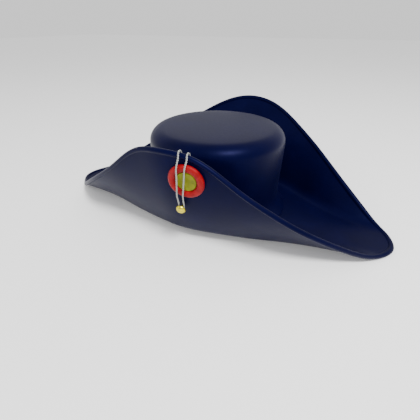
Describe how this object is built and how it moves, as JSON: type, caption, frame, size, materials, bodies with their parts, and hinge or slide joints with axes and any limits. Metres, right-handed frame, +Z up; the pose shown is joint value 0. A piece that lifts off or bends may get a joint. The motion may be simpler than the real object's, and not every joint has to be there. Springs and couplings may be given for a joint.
{
  "type": "bicorne hat",
  "caption": "Felt bicorne hat: round crown, brim cocked up front and back to side points, rolled edge, and a ring cockade held by a corded loop and a button.",
  "frame": {"origin": "on the surface the hat rests on, under the middle of its bounding box", "axes": "+Z up through the crown, front flap with the cockade faces -Y, the two points lie along X, and +X is the wearer's left"},
  "size_m": [0.5226, 0.3108, 0.1403],
  "materials": {
    "navy_felt": "smooth navy wool felt",
    "red_cloth": "satin red cloth over padding",
    "yellow_cloth": "satin olive yellow cloth",
    "gilt_button": "polished gilt brass",
    "silver_cord": "twisted silver grey cord"
  },
  "bodies": {
    "root": {"crown": "navy_felt", "brim": "navy_felt", "cockade_ring": "red_cloth", "cockade_disc": "yellow_cloth", "button": "gilt_button", "cord_loop": "silver_cord"}
  },
  "joints": []
}
